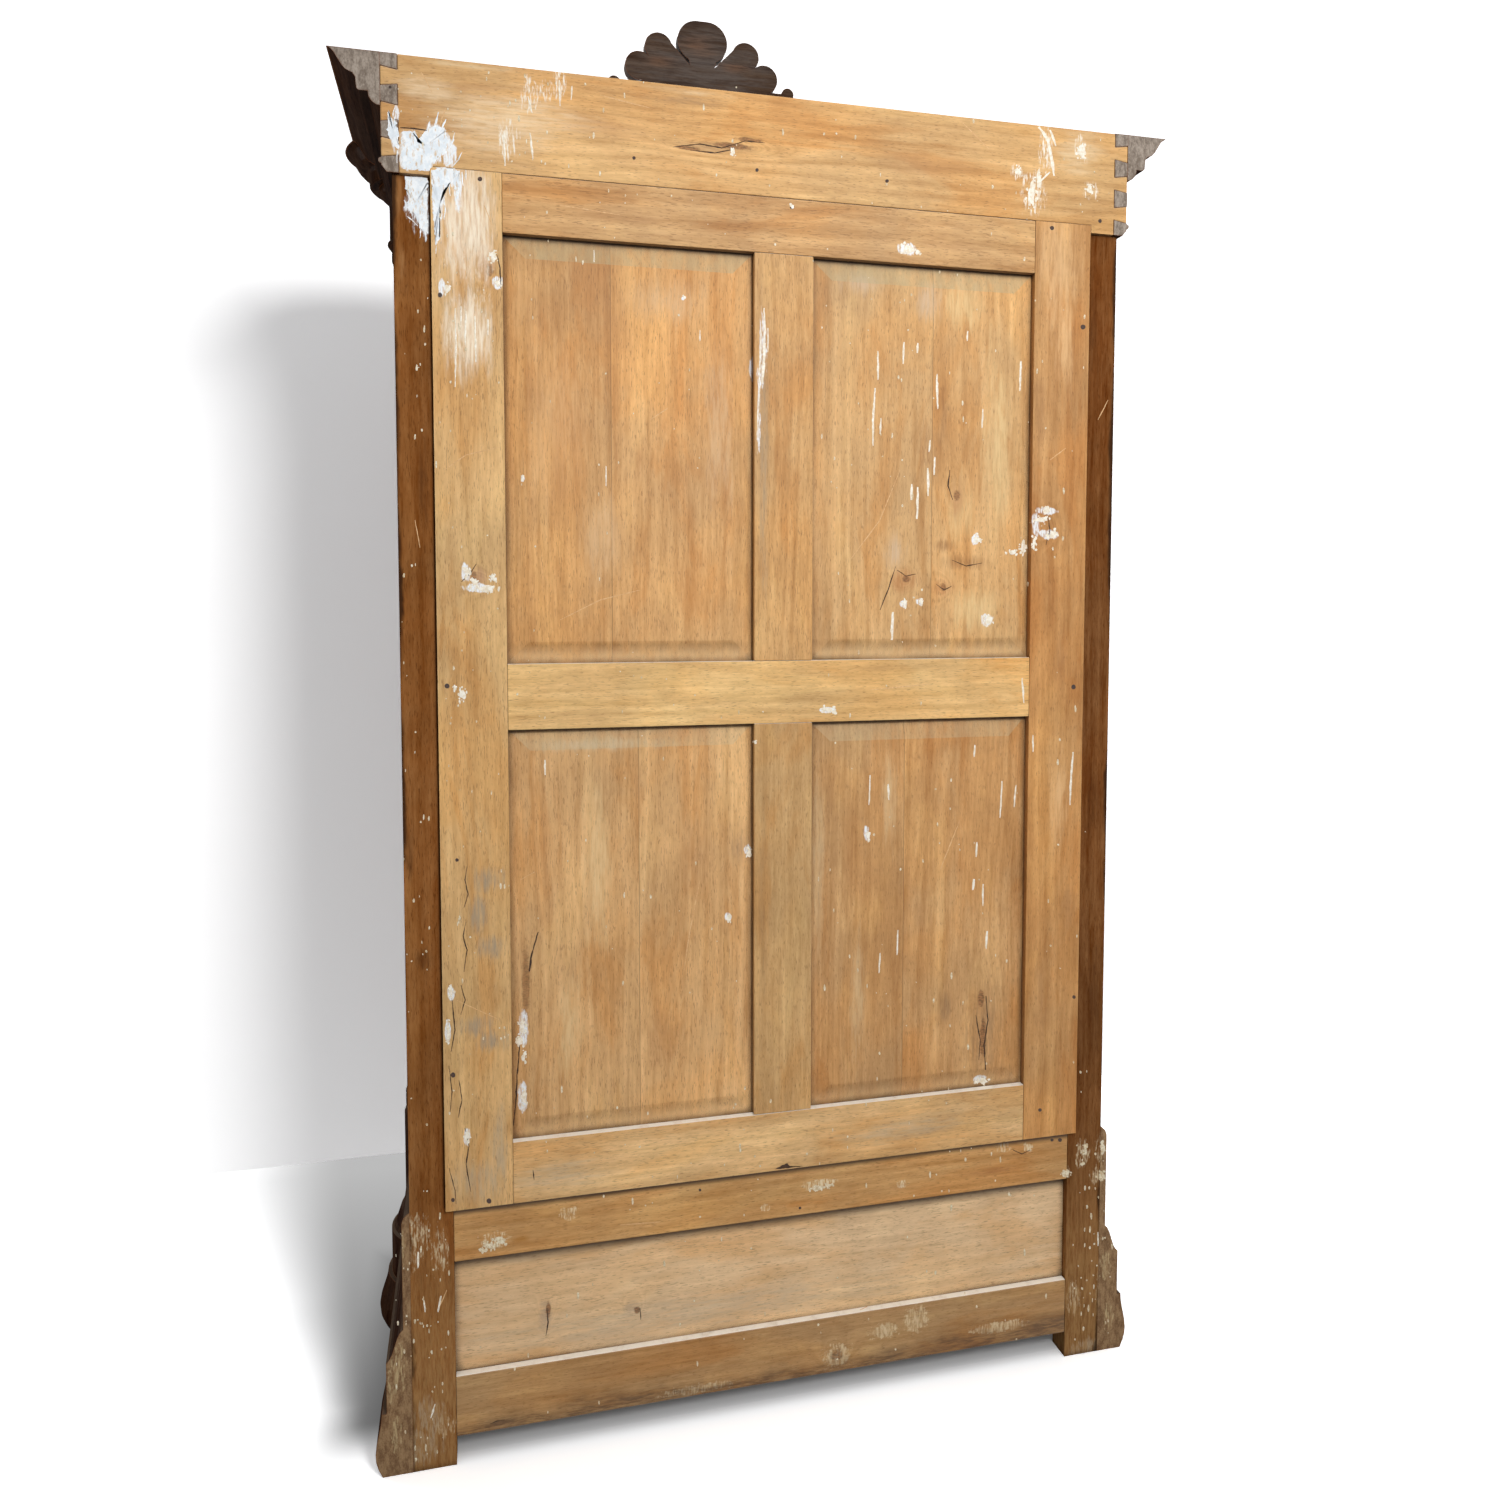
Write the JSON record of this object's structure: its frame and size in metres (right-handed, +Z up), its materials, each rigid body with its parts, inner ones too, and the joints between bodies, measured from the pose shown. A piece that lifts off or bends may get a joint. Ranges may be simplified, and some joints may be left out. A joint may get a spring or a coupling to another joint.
{
  "type": "wardrobe",
  "caption": "Tall framed walnut wardrobe with round corner columns, panelled doors, a drawer in its base, a dovetailed flaring cornice and a carved shell crest.",
  "frame": {"origin": "middle of the bounding box, on the floor", "axes": "+Z up, the doors face -Y, the framed back faces +Y, +X to the right of the doors"},
  "size_m": [1.4956, 0.5728, 2.666],
  "materials": {
    "pale_back_wood": "bare, aged, matte",
    "grey_base_wood": "bare, dusty, matte",
    "red_post_wood": "bare with stained corners",
    "dark_walnut": "dark stain with a worn wax shine",
    "furniture_brass": "tarnished",
    "lock_iron": "blackened"
  },
  "bodies": {
    "case": {"back_stile_left": "pale_back_wood", "back_stile_right": "pale_back_wood", "back_top_rail": "pale_back_wood", "back_middle_rail": "pale_back_wood", "back_bottom_rail": "pale_back_wood", "back_muntin_upper": "pale_back_wood", "back_muntin_lower": "pale_back_wood", "back_panel_upper_left": "pale_back_wood", "back_panel_upper_right": "pale_back_wood", "back_panel_lower_left": "pale_back_wood", "back_panel_lower_right": "pale_back_wood", "base_back_upper_rail": "grey_base_wood", "base_back_lower_rail": "grey_base_wood", "base_back_panel": "grey_base_wood", "back_post_left": "red_post_wood", "back_post_right": "red_post_wood", "front_post_left": "dark_walnut", "front_post_right": "dark_walnut", "column_left": "dark_walnut", "column_right": "dark_walnut", "pedestal_left": "dark_walnut", "pedestal_right": "dark_walnut", "side_rails": "dark_walnut", "side_panels": "dark_walnut", "base_side_left": "dark_walnut", "base_side_right": "dark_walnut", "front_top_rail": "dark_walnut", "front_cross_rail": "dark_walnut", "front_plinth": "dark_walnut", "floor_boards": "pale_back_wood", "ceiling_boards": "pale_back_wood", "hat_shelf": "pale_back_wood", "shelf_battens": "pale_back_wood", "peg_rail": "pale_back_wood", "pegs": "pale_back_wood", "cornice_back": "pale_back_wood", "cornice_sides": "dark_walnut", "cornice_front": "dark_walnut", "cornice_corners": "dark_walnut", "crown_moulding": "dark_walnut", "crest": "dark_walnut", "post_hinges": "furniture_brass", "drawer_runners": "pale_back_wood"},
    "left_door": {"left_door_frame": "dark_walnut", "left_door_panel": "dark_walnut", "left_door_moulding": "dark_walnut", "left_door_hinges": "furniture_brass"},
    "right_door": {"right_door_frame": "dark_walnut", "right_door_panel": "dark_walnut", "right_door_moulding": "dark_walnut", "right_door_hinges": "furniture_brass", "meeting_bead": "dark_walnut", "door_lock": "lock_iron", "key_escutcheon": "furniture_brass"},
    "key": {"door_key": "furniture_brass"},
    "bolt": {"lock_bolt": "lock_iron"},
    "drawer": {"drawer_front": "dark_walnut", "drawer_box": "pale_back_wood", "drawer_bottom": "pale_back_wood", "drawer_knobs": "dark_walnut"}
  },
  "joints": [
    {"name": "left_door_hinge", "type": "hinge", "parent": "case", "child": "left_door", "pos_m": [-0.53, -0.18, 1.27], "axis": [0, 0, -1], "range_deg": [0, 110]},
    {"name": "right_door_hinge", "type": "hinge", "parent": "case", "child": "right_door", "pos_m": [0.53, -0.18, 1.27], "axis": [0, 0, 1], "range_deg": [0, 110]},
    {"name": "key_turn", "type": "hinge", "parent": "right_door", "child": "key", "pos_m": [0.048, -0.1935, 1.262], "axis": [0, -1, 0], "range_deg": [0, 180]},
    {"name": "bolt_slide", "type": "slide", "parent": "right_door", "child": "bolt", "axis": [-1, 0, 0], "range_m": [0, 0.012]},
    {"name": "drawer_slide", "type": "slide", "parent": "case", "child": "drawer", "axis": [0, -1, 0], "range_m": [0, 0.28]}
  ],
  "couplings": [
    {"joint": "key_turn", "follows": "bolt_slide", "rad_per_m": 261.79}
  ]
}
